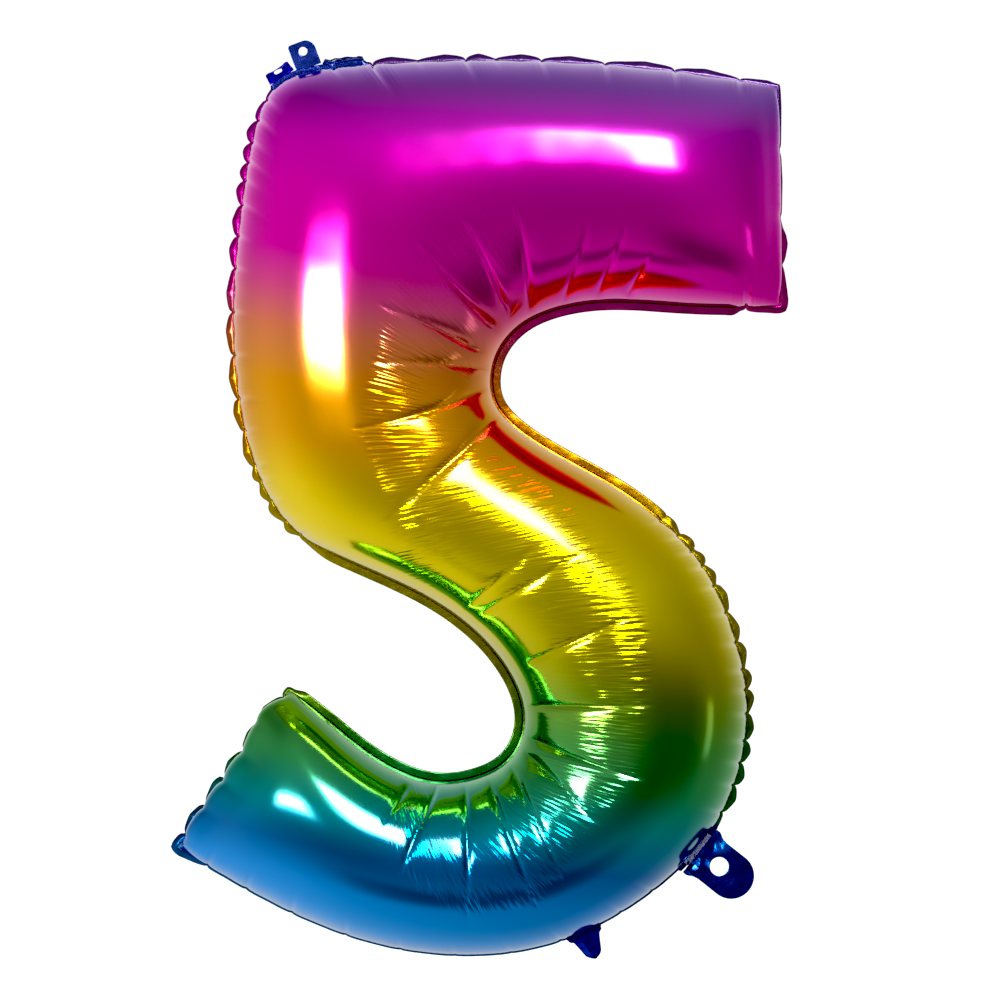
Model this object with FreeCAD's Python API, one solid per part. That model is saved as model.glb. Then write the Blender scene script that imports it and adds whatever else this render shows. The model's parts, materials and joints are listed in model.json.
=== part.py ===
"""Foil number balloon, the digit five, inflated.

Two printed film sheets are heat sealed round the digit's outline. Between them stands the
gas, outside the seal runs a flat seam band, and on the band sit the hanging tabs and the
fill tail with its flat self-closing valve. The digit stands in the XZ plane with its face
towards -Y and +Z up. The origin is the centre of the hole in the standing hang tab.
All sizes are in millimetres.
"""
import FreeCAD
import Part
import math
import os
from FreeCAD import Placement, Rotation, Vector

# Inflated digit, seam to seam.
digit_width = 580.0
digit_height = 860.0
digit_depth = 180.0

# Film stand-ins: the real laminate is about 0.04 thick, the valve film about 0.03.
panel_wall = 0.8
ply_thickness = 0.8
valve_film_thickness = 0.25

# Seam band outside the seal, and the living folds in it.
band_width = 8.0
fold_offset = 5.0
fold_clearance = 0.15
side_clearance = 0.3

# How the stroke closes at its two ends.
end_shoulder_run = 4.0
end_shoulder_share = 0.6
end_corner_pull = 0.3

# Fill tail: place along the lower edge as a share of its length, lean from the square.
tail_place = 0.6155
tail_lean = -2.0
tail_width = 44.0
tail_flare_radius = 14.0
tail_length = 59.5
fill_hole_radius = 9.0
fill_hole_distance = 23.0

# Valve: two films face to face, welded into the tail's neck and lying free in the gas.
valve_width = 36.0
valve_length = 150.0
valve_mouth_past_hole = 14.0

# Tabs: place along the edge, lean, root width, tip width, length, the two tip corner radii,
# hole radius, its distance out and to the side, and how far each lies folded back.
standing_tab = dict(edge="upper", place=0.2980, lean=-9.0, root=25.0, tip=25.0, length=25.0,
                    left_radius=3.0, right_radius=10.0, hole=4.2, hole_at=15.5, hole_side=0.0,
                    fold=0.0)
left_tab = dict(edge="upper", place=0.3152, lean=0.0, root=27.0, tip=25.0, length=28.0,
                left_radius=9.0, right_radius=6.0, hole=4.2, hole_at=17.0, hole_side=0.0,
                fold=66.0)
right_tab = dict(edge="upper", place=0.2762, lean=0.0, root=40.0, tip=36.0, length=24.0,
                 left_radius=8.0, right_radius=8.0, hole=4.2, hole_at=14.0, hole_side=-11.5,
                 fold=76.0)
bottom_tab = dict(edge="lower", place=0.7100, lean=0.0, root=34.0, tip=14.0, length=27.0,
                  left_radius=6.5, right_radius=6.5, hole=0.0, hole_at=0.0, hole_side=0.0,
                  fold=20.0)

# The stroke as ribs across it, from the bar's free end over the shoulder, down the stem and
# round the bowl to the hook: the upper edge's and the lower edge's control point, and the
# depth there as a share of the full depth. Drawn 580 wide and 860 high.
drawn_width = 580.0
drawn_height = 860.0
bar_end = ((286.0, 832.0), (289.0, 622.0))
hook_end = ((-181.0, 255.0), (-287.0, 106.0))
ribs = [
    ((200, 846), (215, 620), 1.02),
    ((100, 855), (150, 627), 1.00),
    ((-25, 858), (97, 626), 1.00),
    ((-137, 850), (46, 611), 1.02),
    ((-204, 842), (19, 582), 1.04),
    ((-223, 745), (12, 553), 1.04),
    ((-238, 615), (16, 525), 1.02),
    ((-226, 495), (46, 498), 1.00),
    ((-189, 410), (88, 474), 1.00),
    ((-128, 379), (153, 440), 0.98),
    ((-46, 346), (217, 380), 0.98),
    ((16, 298), (247, 307), 1.00),
    ((50, 237), (263, 231), 1.00),
    ((35, 189), (239, 133), 1.00),
    ((0, 171), (172, 62), 1.00),
    ((-48, 164), (59, -2), 1.00),
    ((-105, 193), (-90, 3), 1.00),
    ((-148, 232), (-211, 57), 0.98),
]

degree = 3
half_round_weight = math.sqrt(0.5)


def drawn(point):
    """A drawn point in the plane of the seam, at the digit's own width and height."""
    return Vector(point[0] * digit_width / drawn_width, 0.0, point[1] * digit_height / drawn_height)


def unit(vector):
    return vector * (1.0 / vector.Length)


def square_left(direction):
    """The direction turned a quarter turn in the XZ plane."""
    return Vector(-direction.z, 0.0, direction.x)


def stroke_run(end, neighbour):
    """Unit vector square to a stroke end, pointing into the stroke."""
    upper, lower = drawn(end[0]), drawn(end[1])
    square = unit(square_left(lower - upper))
    inward = drawn(neighbour[0]) + drawn(neighbour[1]) - upper - lower
    return square if square.dot(inward) > 0 else square * -1.0


def rib_rows():
    """All ribs with the closing ribs added, as lists of upper points, lower points, depths."""
    bar_run = stroke_run(bar_end, ribs[0])
    hook_run = stroke_run(hook_end, ribs[-1])
    rows = [(drawn(bar_end[0]), drawn(bar_end[1]), 0.0)]
    rows.append((rows[0][0] + bar_run * end_shoulder_run, rows[0][1] + bar_run * end_shoulder_run,
                 end_shoulder_share))
    rows += [(drawn(upper), drawn(lower), share) for upper, lower, share in ribs]
    last = (drawn(hook_end[0]), drawn(hook_end[1]), 0.0)
    rows.append((last[0] + hook_run * end_shoulder_run, last[1] + hook_run * end_shoulder_run,
                 end_shoulder_share))
    rows.append(last)
    return [r[0] for r in rows], [r[1] for r in rows], [r[2] * digit_depth / 2 for r in rows]


def shifted(points, distance, outward_sign):
    """Control points moved square to their own line: positive distance widens the digit."""
    moved = []
    for i, point in enumerate(points):
        before = points[max(i - 1, 0)]
        after = points[min(i + 1, len(points) - 1)]
        moved.append(point + square_left(unit(after - before)) * (distance * outward_sign))
    return moved


def knots_for(count):
    spans = count - degree
    return [float(k) for k in range(spans + 1)], [degree + 1] + [1] * (spans - 1) + [degree + 1]


def edge_curve(points):
    """Smooth edge line with its control points at the ribs."""
    knots, multiplicities = knots_for(len(points))
    curve = Part.BSplineCurve()
    curve.buildFromPolesMultsKnots(points, multiplicities, knots, False, degree)
    return curve


def panel_skin(inset, side):
    """Half-elliptical skin over the ribs, drawn in by inset; side is -1 in front, 1 behind."""
    upper, lower, depths = rib_rows()
    upper = shifted(upper, -inset, -1)
    lower = shifted(lower, -inset, 1)
    bar_run = stroke_run(bar_end, ribs[0]) * inset
    hook_run = stroke_run(hook_end, ribs[-1]) * inset
    last = len(upper) - 1
    poles, weights = [], []
    for i in range(len(upper)):
        run = bar_run if i < 2 else hook_run if i > last - 2 else Vector()
        high, low = upper[i] + run, lower[i] + run
        middle = (high + low) * 0.5
        closed = i in (0, last)
        depth = 0.0 if closed else depths[i] - inset
        pull = end_corner_pull if closed else 0.0
        rise = Vector(0.0, side * depth, 0.0)
        poles.append([high, high + (middle - high) * pull + rise, middle + rise,
                      low + (middle - low) * pull + rise, low])
        weights.append([1.0, half_round_weight, 1.0, half_round_weight, 1.0])
    knots, multiplicities = knots_for(len(upper))
    skin = Part.BSplineSurface()
    skin.buildFromPolesMultsKnots(poles, multiplicities, [3, 2, 3], knots, [0.0, 1.0, 2.0],
                                  False, False, degree, 2, weights)
    return skin.toShape()


def ring_face(outer_wire, inner_wire):
    """Flat ring between two closed outlines in one plane."""
    return Part.makeFace([outer_wire, inner_wire], "Part::FaceMakerBullseye").Faces[0]


def seam_line(skin):
    """Closed outline of a skin where it meets the seam plane."""
    return Part.Wire(Part.sortEdges(skin.Edges)[0])


def panel(side):
    """One blown-out half of the digit: outer skin, inner skin and the flat rim at the seam."""
    outer = panel_skin(0.0, side)
    inner = panel_skin(panel_wall, side)
    rim = ring_face(seam_line(outer), seam_line(inner))
    shell = Part.makeShell([outer, inner, rim])
    shell.sewShape()
    solid = Part.Solid(shell)
    if solid.Volume < 0:
        solid.reverse()
    return cut_all(solid, [valve_slot(side)])


def corner_arc(corner, start, end):
    """Arc of the band round one corner of the digit."""
    middle = corner + unit((start - corner) + (end - corner)) * band_width
    return Part.Arc(start, middle, end).toShape()


def band_outline():
    """Outer outline of the seam band, a steady width outside the seam."""
    upper, lower, _ = rib_rows()
    far_upper = edge_curve(shifted(upper, band_width, -1))
    far_lower = edge_curve(shifted(lower, band_width, 1))
    bar_out = stroke_run(bar_end, ribs[0]) * -band_width
    hook_out = stroke_run(hook_end, ribs[-1]) * -band_width
    first_u, last_u = far_upper.StartPoint, far_upper.EndPoint
    first_l, last_l = far_lower.StartPoint, far_lower.EndPoint
    edges = [far_upper.toShape(), far_lower.toShape(),
             corner_arc(upper[0], first_u, upper[0] + bar_out),
             Part.makeLine(upper[0] + bar_out, lower[0] + bar_out),
             corner_arc(lower[0], first_l, lower[0] + bar_out),
             corner_arc(upper[-1], last_u, upper[-1] + hook_out),
             Part.makeLine(upper[-1] + hook_out, lower[-1] + hook_out),
             corner_arc(lower[-1], last_l, lower[-1] + hook_out)]
    return Part.Wire(Part.sortEdges(edges)[0])


def seam_band(side):
    """One ply of the flat band, with gaps where tabs and tail fold and a slot for the valve."""
    ring = ring_face(band_outline(), seam_line(panel_skin(0.0, side)))
    ply = ring.extrude(Vector(0.0, side * ply_thickness, 0.0))
    gaps = [tab_gap(tab) for tab in (standing_tab, left_tab, right_tab, bottom_tab)]
    gaps.append(fold_gap(tail_frame(), tail_root_width()))
    gaps.append(valve_slot(side))
    return cut_all(ply, gaps)


def cut_all(solid, tools):
    for tool in tools:
        solid = solid.cut(tool)
    return solid.Solids[0] if len(solid.Solids) == 1 else solid


def root_frame(edge, place, lean):
    """Frame of a fold: X along the fold line, Z outwards in the digit's plane, Y to the back."""
    upper, lower, _ = rib_rows()
    curve = edge_curve(upper if edge == "upper" else lower)
    parameter = curve.parameterAtDistance(curve.length() * place, curve.FirstParameter)
    along = Vector(*curve.tangent(parameter)[0])
    outward = square_left(unit(along)) * (-1.0 if edge == "upper" else 1.0)
    turn = math.degrees(math.atan2(outward.x, outward.z)) + lean
    base = curve.value(parameter) + outward * fold_offset
    return Placement(base, Rotation(Vector(0, 1, 0), turn))


def tail_frame():
    return root_frame("lower", tail_place, tail_lean)


def tab_frame(tab):
    return root_frame(tab["edge"], tab["place"], tab["lean"])


def local_box(x_half, y_low, y_high, z_low, z_high, frame):
    box = Part.makeBox(2 * x_half, y_high - y_low, z_high - z_low, Vector(-x_half, y_low, z_low))
    box.Placement = frame
    return box


def fold_gap(frame, root_width):
    """Room in the band for a tab's root, from just inside the fold line to past the band."""
    depth = 2 * ply_thickness
    return local_box(root_width / 2 + side_clearance, -depth, depth,
                     -ply_thickness - fold_clearance, 3 * band_width, frame)


def tab_gap(tab):
    return fold_gap(tab_frame(tab), tab["root"])


def valve_slot(side):
    """The valve film's own thickness, let into this side's ply and panel wall at the neck."""
    low, high = sorted((0.0, side * valve_film_thickness))
    return local_box(valve_width / 2, low, high, -3 * band_width, band_width, tail_frame())


def valve_film(side):
    """One valve film, from the fold line inwards."""
    low, high = sorted((0.0, side * valve_film_thickness))
    start = -ply_thickness - fold_clearance
    return local_box(valve_width / 2, low, high, start - valve_length, start, tail_frame())


def flat_point(x, z):
    return Vector(x, 0.0, z)


def rounded_corner(before, corner, after, radius):
    """Arc of the given radius inside a corner, with the two points where it starts and ends."""
    back, on = unit(before - corner), unit(after - corner)
    half_turn = back.getAngle(on) / 2
    reach = radius / math.tan(half_turn)
    centre = corner + unit(back + on) * (radius / math.sin(half_turn))
    middle = centre + unit(corner - centre) * radius
    start, end = corner + back * reach, corner + on * reach
    return start, end, Part.Arc(start, middle, end).toShape()


def tab_outline(tab):
    """Tapered tab with rounded tip corners, from below the fold line to its length."""
    below = -2 * ply_thickness
    root, tip, top = tab["root"] / 2, tab["tip"] / 2, tab["length"]
    foot_left, foot_right = flat_point(-root, below), flat_point(root, below)
    top_left, top_right = flat_point(-tip, top), flat_point(tip, top)
    left_in, left_out, left_arc = rounded_corner(foot_left, top_left, top_right, tab["left_radius"])
    right_in, right_out, right_arc = rounded_corner(top_left, top_right, foot_right,
                                                    tab["right_radius"])
    edges = [Part.makeLine(foot_left, left_in), left_arc]
    if left_out.distanceToPoint(right_in) > 0.01:
        edges.append(Part.makeLine(left_out, right_in))
    edges += [right_arc, Part.makeLine(right_out, foot_right), Part.makeLine(foot_right, foot_left)]
    return Part.Wire(edges)


def tail_root_width():
    return tail_width + 2 * tail_flare_radius * (1 - half_round_weight)


def tail_outline():
    """Straight tail with a full-round end and a flared neck."""
    below = -2 * ply_thickness
    half, root, flare = tail_width / 2, tail_root_width() / 2, tail_flare_radius
    bend = flare * (1 - half_round_weight)
    shallow = math.radians(22.5)
    bend_x = half + flare * (1 - math.cos(shallow))
    bend_z = flare * (1 - math.sin(shallow))
    straight_end = tail_length - half
    edges = []
    for hand in (-1, 1):
        edges.append(Part.makeLine(flat_point(hand * root, below), flat_point(hand * root, bend)))
        edges.append(Part.Arc(flat_point(hand * root, bend), flat_point(hand * bend_x, bend_z),
                              flat_point(hand * half, flare)).toShape())
        edges.append(Part.makeLine(flat_point(hand * half, flare),
                                   flat_point(hand * half, straight_end)))
    edges.append(Part.Arc(flat_point(-half, straight_end), flat_point(0, tail_length),
                          flat_point(half, straight_end)).toShape())
    edges.append(Part.makeLine(flat_point(-root, below), flat_point(root, below)))
    return Part.Wire(Part.sortEdges(edges)[0])


def folding_ply(outline, root_width, length, side):
    """One ply with its root edge rounded about the fold line, cut to the outline."""
    r = ply_thickness
    y = side * r
    lower_y, upper_y = sorted((0.0, y))
    round_root = Part.Arc(Vector(0, 0, -r), Vector(0, y * half_round_weight, -r * half_round_weight),
                          Vector(0, y, 0)).toShape()
    section = Part.Face(Part.Wire([round_root, Part.makeLine(Vector(0, y, 0), Vector(0, y, length)),
                                   Part.makeLine(Vector(0, y, length), Vector(0, 0, length)),
                                   Part.makeLine(Vector(0, 0, length), Vector(0, 0, -r))]))
    reach = root_width / 2
    section.translate(Vector(-reach, 0, 0))
    plate = section.extrude(Vector(2 * reach, 0, 0))
    prism = Part.Face(outline).extrude(Vector(0, upper_y - lower_y, 0))
    prism.translate(Vector(0, lower_y, 0))
    return plate.common(prism)


def through_hole(radius, distance, aside=0.0):
    return Part.makeCylinder(radius, 4 * ply_thickness,
                             Vector(aside, -2 * ply_thickness, distance), Vector(0, 1, 0))


def tab_ply(tab, side):
    """One ply of a hanging tab, holed, folded back and set on the band."""
    ply = folding_ply(tab_outline(tab), tab["root"], tab["length"], side)
    if tab["hole"] > 0:
        ply = ply.cut(through_hole(tab["hole"], tab["hole_at"], tab["hole_side"]))
    return placed(ply.Solids[0], tab_placement(tab))


def tab_placement(tab):
    return tab_frame(tab).multiply(Placement(Vector(), Rotation(Vector(1, 0, 0), -tab["fold"])))


def tail_ply(side):
    """One ply of the fill tail, with the flat passage to the valve and the fill hole."""
    ply = folding_ply(tail_outline(), tail_root_width(), tail_length, side)
    low, high = sorted((0.0, side * valve_film_thickness))
    mouth = fill_hole_distance + fill_hole_radius + valve_mouth_past_hole
    passage = local_box(valve_width / 2, low, high, -2 * ply_thickness, mouth, Placement())
    ply = ply.cut(passage).cut(through_hole(fill_hole_radius, fill_hole_distance))
    return placed(ply.Solids[0], tail_frame())


def placed(shape, placement):
    moved = shape.copy()
    moved.Placement = placement
    return moved


def hole_centre(tab):
    return tab_placement(tab).multVec(Vector(tab["hole_side"], 0, tab["hole_at"]))


def report_line(name, placement, hole_at, hole_side=0.0):
    """Fold line and hole of one tab, as the record states them."""
    origin = hole_centre(standing_tab)
    base = placement.Base - origin
    along = placement.Rotation.multVec(Vector(1, 0, 0))
    front = placement.Rotation.multVec(Vector(0, -1, 0))
    hole = placement.multVec(Vector(hole_side, 0, hole_at)) - origin
    for label, vector in (("fold", base), ("axis", along), ("hole", hole), ("front", front)):
        print(name, label, round(vector.x, 3), round(vector.y, 3), round(vector.z, 3))


def build():
    """Every node by name, in the frame whose origin is the standing tab's hole."""
    nodes = {}
    for side, hand in ((-1, "front"), (1, "back")):
        nodes[hand + "_foil_panel"] = panel(side)
        nodes[hand + "_seam_band"] = seam_band(side)
        nodes[hand + "_valve_film"] = valve_film(side)
        nodes[hand + "_tail_ply"] = tail_ply(side)
        nodes[hand + "_standing_tab_ply"] = tab_ply(standing_tab, side)
        nodes[hand + "_left_tab_ply"] = tab_ply(left_tab, side)
        nodes[hand + "_right_tab_ply"] = tab_ply(right_tab, side)
        nodes[hand + "_bottom_tab_ply"] = tab_ply(bottom_tab, side)
    origin = hole_centre(standing_tab)
    for shape in nodes.values():
        shape.translate(origin * -1.0)
    return nodes


def main():
    os.makedirs("parts", exist_ok=True)
    for name, shape in build().items():
        box = shape.BoundBox
        print(name, shape.isValid(), len(shape.Solids), round(shape.Volume, 1),
              [round(v, 1) for v in (box.XMin, box.YMin, box.ZMin, box.XMax, box.YMax, box.ZMax)])
        shape.exportStep("parts/" + name + ".step")
    report_line("tail", tail_frame(), fill_hole_distance)
    for name, tab in (("standing", standing_tab), ("left", left_tab), ("right", right_tab),
                      ("bottom", bottom_tab)):
        report_line(name, tab_placement(tab), tab["hole_at"], tab["hole_side"])


main()
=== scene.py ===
"""Looks of the foil number balloon, digit five, laid out as a Blender add-on and run as a script.

The blown foil panels, the crinkled seam band, the hanging tabs and the fill tail are film, shaped
over the fixed frame. The seam plane is XZ, the face looks towards -Y, +Z is up, sizes in metres.
"""

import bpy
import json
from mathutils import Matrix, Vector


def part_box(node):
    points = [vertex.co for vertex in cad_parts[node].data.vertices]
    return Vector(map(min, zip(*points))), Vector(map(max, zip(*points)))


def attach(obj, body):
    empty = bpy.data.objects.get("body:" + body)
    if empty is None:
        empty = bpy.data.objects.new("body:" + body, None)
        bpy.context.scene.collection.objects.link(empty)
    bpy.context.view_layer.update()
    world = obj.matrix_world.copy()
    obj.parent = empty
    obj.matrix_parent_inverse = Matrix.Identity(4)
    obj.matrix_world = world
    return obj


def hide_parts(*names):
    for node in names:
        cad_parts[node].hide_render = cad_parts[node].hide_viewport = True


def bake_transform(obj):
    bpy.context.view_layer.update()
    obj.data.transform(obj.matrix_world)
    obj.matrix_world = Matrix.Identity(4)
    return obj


bl_info = {
    "name": "Foil number balloon, five",
    "version": (1, 0, 0),
    "blender": (4, 5, 0),
    "location": "3D View > Sidebar > Balloon",
    "description": "Builds the foil film pieces and the studio of an inflated digit five",
    "category": "Object",
}

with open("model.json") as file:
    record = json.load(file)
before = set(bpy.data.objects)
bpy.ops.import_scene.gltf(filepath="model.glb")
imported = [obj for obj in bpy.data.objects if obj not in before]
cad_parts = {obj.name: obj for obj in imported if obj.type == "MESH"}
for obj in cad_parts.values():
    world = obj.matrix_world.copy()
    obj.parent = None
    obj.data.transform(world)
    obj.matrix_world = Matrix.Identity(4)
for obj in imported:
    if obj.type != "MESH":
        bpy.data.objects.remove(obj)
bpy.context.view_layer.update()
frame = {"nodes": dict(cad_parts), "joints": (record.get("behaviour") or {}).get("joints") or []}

import json
import math

import bpy
import numpy as np

# The stroke as ribs from the bar's free end, over the shoulder, down the stem and round the bowl
# to the hook: upper edge, lower edge (millimetres, drawn 580 by 860) and share of the depth.
BAR_END = ((286, 832), (289, 622))
HOOK_END = ((-181, 255), (-287, 106))
RIBS = (
    ((200, 846), (215, 620), 1.02),
    ((100, 855), (150, 627), 1.00),
    ((-25, 858), (97, 626), 1.00),
    ((-137, 850), (46, 611), 1.02),
    ((-204, 842), (19, 582), 1.04),
    ((-223, 745), (12, 553), 1.04),
    ((-238, 615), (16, 525), 1.02),
    ((-226, 495), (46, 498), 1.00),
    ((-189, 410), (88, 474), 1.00),
    ((-128, 379), (153, 440), 0.98),
    ((-46, 346), (217, 380), 0.98),
    ((16, 298), (247, 307), 1.00),
    ((50, 237), (263, 231), 1.00),
    ((35, 189), (239, 133), 1.00),
    ((0, 171), (172, 62), 1.00),
    ((-48, 164), (59, -2), 1.00),
    ((-105, 193), (-90, 3), 1.00),
    ((-148, 232), (-211, 57), 0.98),
)
# The digit's half depth, the drawn place and the depth share of the rib that rounds a stroke end,
# and the degree of the spline.
HALF_DEPTH = 0.090
END_RUN = 4.0
END_SHARE = 0.6
DEGREE = 3

# Print: rise of the gradient per metre to the right. Then the seam band's painted shade: the share
# of the print's brightness that the band keeps.
INK_TILT = 0.07
BAND_PAINTED_SHADE = 0.42

# Metres: where points join, the band's mesh step, the outline's step; then the band's rows.
WELD = 0.00001
BAND_STEP = 0.0018
RAY_STEP = 0.0002
BAND_ROWS = 6

# Tabs, in metres: foot below the fold line, length of the bend, radius of a hang hole.
TAB_FOOT = -0.0010
FOLD_BEND = 0.0016
HANG_HOLE_RADIUS = 0.0042

# Width of the camera's view at the seam plane, in metres.
VIEW_WIDTH = 0.9556

# Deep folds of the two bends: outer tip, inner end (drawn millimetres), depth share.
FOLDS = (
    ((104, 697), (81, 625), 0.45),
    ((140, 693), (114, 631), 0.55),
    ((166, 671), (143, 631), 0.55),
    ((35, 717), (49, 618), 0.85),
    ((-12, 702), (29, 613), 1.0),
    ((-52, 678), (18, 598), 1.15),
    ((-89, 620), (3, 579), 1.15),
    ((-97, 568), (11, 561), 0.8),
    ((-111, 505), (7, 542), 1.1),
    ((-84, 420), (20, 517), 1.15),
    ((55, 394), (-9, 335), 0.8),
    ((92, 384), (3, 327), 0.8),
    ((140, 323), (49, 281), 0.9),
    ((161, 241), (49, 241), 0.9),
    ((156, 170), (49, 210), 1.0),
    ((113, 128), (46, 195), 1.0),
    ((79, 79), (31, 181), 1.0),
    ((55, 49), (10, 168), 1.0),
    ((-11, 40), (-13, 165), 0.9),
    ((-75, 79), (-39, 165), 1.0),
    ((-91, 128), (-67, 165), 0.8),
)

# The rings of fine ripples round the two notches: centre, and the line where they start.
COMB_RINGS = (
    ((60, 565), ((35, 740), (-12, 704), (-52, 681), (-89, 622), (-100, 568), (-113, 505),
                 (-98, 460), (-84, 420))),
    ((-40, 240), ((-91, 128), (-75, 79), (-11, 40), (55, 49), (79, 79), (113, 128), (156, 170),
                  (161, 241), (165, 310), (140, 378), (100, 425), (52, 462), (2, 488), (-40, 470),
                  (-90, 410))),
)

# Pinches of the sealed edge, where the seam puckers between two lobes: drawn millimetres,
# strength, and how far the crease runs into the panel.
UPPER_PINCHES = (
    (250, 838, 0.8, 14), (188, 847, 0.9, 16), (121, 852, 0.9, 15), (61, 853, 0.8, 14),
    (16, 852, 0.4, 8), (-12, 851, 1.0, 16), (-57, 849, 0.3, 8), (-100, 846, 1.6, 26),
    (-138, 840, 0.8, 10), (-204, 820, 0.9, 14), (-209, 799, 1.0, 18), (-213, 777, 0.8, 14),
    (-217, 759, 0.9, 16), (-220, 742, 0.7, 14), (-223, 719, 0.9, 16), (-227, 689, 0.8, 10),
    (-229, 658, 0.9, 10), (-231, 616, 1.0, 10), (-231, 575, 1.0, 10), (-229, 534, 1.0, 12),
    (-224, 502, 0.7, 9), (-216, 468, 0.7, 9), (-211, 453, 0.6, 9), (-202, 432, 0.6, 9),
    (-190, 411, 0.5, 9), (-178, 394, 0.5, 8),
)
LOWER_PINCHES = (
    (256, 621, 1.2, 16),
    (177, 419, 0.5, 9), (193, 404, 0.7, 10), (206, 389, 0.8, 10), (217, 375, 0.8, 10),
    (228, 356, 0.9, 11), (240, 330, 0.9, 11), (250, 302, 0.9, 11), (257, 276, 0.9, 11),
    (259, 256, 0.8, 10), (258, 233, 0.9, 11), (254, 207, 0.9, 11), (248, 186, 0.9, 11),
    (241, 165, 0.9, 11), (231, 139, 0.8, 14), (165, 65, 0.4, 14), (136, 44, 0.4, 12),
    (78, 18, 0.4, 12), (31, 3, 0.2, 9), (-22, -1, 0.2, 9), (-75, 3, 0.3, 9),
    (-127, 17, 0.4, 12), (-179, 42, 0.5, 14), (-222, 64, 0.5, 14), (-260, 86, 0.7, 14),
)
BAR_END_PINCHES = ((287, 771, 1.2, 22), (289, 706, 1.3, 26), (288, 662, 0.6, 14))
HOOK_END_PINCHES = (
    (-188, 249, 1.6, 30), (-206, 222, 2.4, 34), (-224, 197, 2.6, 38), (-244, 172, 2.8, 42),
    (-262, 146, 2.4, 36), (-281, 118, 1.8, 28),
)

ROOT_WIDTHS = {"fill_tail": 0.0525, "standing_tab": 0.025, "left_tab": 0.027, "right_tab": 0.040,
               "bottom_tab": 0.034}
# Each hanging tab: root width, tip width and length, corner radii, hole's place aside and out
# (all in millimetres), fold angle, crumple share, ink.
HANGING_TABS = (
    ("standing_tab", (25, 25, 25), (3, 10), (0, 15.5), 0, 0.12, "tab_blue"),
    ("left_tab", (27, 25, 28), (9, 6), (0, 17), 66, 1.6, "tab_violet"),
    ("right_tab", (40, 36, 24), (8, 8), (-11.5, 14), 76, 0.9, "tab_navy"),
)

# Soft lobes of light round the studio: bearing left (-) or right (+), elevation, strength.
SURROUND = (
    (90, 74, 0.12), (175, 54, 0.10), (37, 47, 0.25), (122, 35, 0.15), (-15, 30, 0.34),
    (-153, 25, 0.59), (-68, 16, 0.32), (155, 11, 0.35), (17, 7, 0.08), (102, -2, 0.07),
    (50, -16, 0.23), (-88, -20, 0.35), (135, -25, 0.29), (-140, -35, 0.49), (82, -41, 0.06),
    (-55, -47, 0.32), (167, -54, 0.12), (30, -62, 0.19), (-108, -74, 0.10),
)

# Softboxes, which take their radiance from the settings, a strip and two dark flags: drawn
# millimetres of the target, bearing and elevation, distance, size, radiance, the share of the
# half side where the fade ends, and how much it covers.
SOFTBOXES = (
    ("left_softbox", (-140, 597), (-29, 1.2), 2.0, (1.05, 0.46), None, 0.30, 1.0),
    ("top_softbox", (112, 764), (12.2, 27), 5.0, (1.9, 2.6), None, 0.30, 1.0),
    ("right_strip", (218, 220), (72, -6), 2.2, (0.42, 0.9), 0.9, 0.30, 1.0),
    ("low_flag", (20, 80), (4, -42), 0.7, (1.3, 0.42), 0.0, 0.10, 0.6),
    ("dark_flag", (165, 225), (33, -8), 0.5, (0.95, 0.75), 0.0, 0.08, 0.6),
)
LOBE_SHARPNESS = 4.5

# The rainbow's inks: height above the digit's foot in metres, and colour on a screen.
INKS = {
    "indigo": (-0.015, (63, 155, 246)), "royal": (0.015, (0, 162, 249)),
    "azure": (0.055, (0, 151, 239)), "navy": (0.092, (0, 121, 191)),
    "teal": (0.131, (0, 158, 162)), "jade": (0.170, (63, 173, 101)),
    "green": (0.217, (93, 177, 75)), "leaf": (0.255, (144, 181, 39)),
    "olive": (0.283, (188, 188, 0)), "lime": (0.313, (218, 203, 0)),
    "yellow": (0.370, (246, 226, 0)), "gold": (0.430, (255, 218, 0)),
    "amber": (0.475, (255, 182, 0)), "orange": (0.525, (255, 170, 0)),
    "crimson": (0.575, (255, 142, 93)), "rose": (0.615, (255, 85, 160)),
    "fuchsia": (0.650, (255, 0, 191)), "magenta": (0.715, (255, 0, 200)),
    "plum": (0.765, (246, 0, 212)), "purple": (0.800, (221, 48, 218)),
    "violet": (0.835, (173, 105, 226)), "lilac": (0.865, (173, 124, 221)),
}
TAB_INKS = {
    "tab_blue": ("The standing tab", (66, 84, 178)),
    "tab_violet": ("The left tab", (72, 22, 215)),
    "tab_navy": ("The right tab", (44, 66, 158)),
    "tail_navy": ("The fill tail", (6, 84, 176)),
    "foot_blue": ("The bottom tab", (18, 62, 170)),
}


def display_colour(*channels):
    """A colour as seen on a screen, 0 to 255, made linear."""
    shares = [channel / 255 for channel in channels]
    return tuple(s / 12.92 if s <= 0.04045 else ((s + 0.055) / 1.055) ** 2.4 for s in shares)


def fields(kind, limits, rows):
    """A settings group's properties, each from its description and its default."""
    return {name: kind(name=name.replace("_", " ").capitalize(), description=about,
                       default=default, **limits) for name, (about, default) in rows.items()}


FloatProperty = bpy.props.FloatProperty
LENGTH = {"min": 0.0, "unit": "LENGTH", "subtype": "DISTANCE", "precision": 5}


class BALLOON_PG_inks(bpy.types.PropertyGroup):
    """Colours of the rainbow print, from the foot of the digit to its top, and of the tabs."""
    __annotations__ = fields(
        bpy.props.FloatVectorProperty, {"size": 3, "subtype": "COLOR", "min": 0.0, "max": 1.0},
        {name: (f"Print {height * 1000:.0f} mm above the foot", display_colour(*colour))
         for name, (height, colour) in INKS.items()}
        | {name: (about, display_colour(*colour)) for name, (about, colour) in TAB_INKS.items()})


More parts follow.
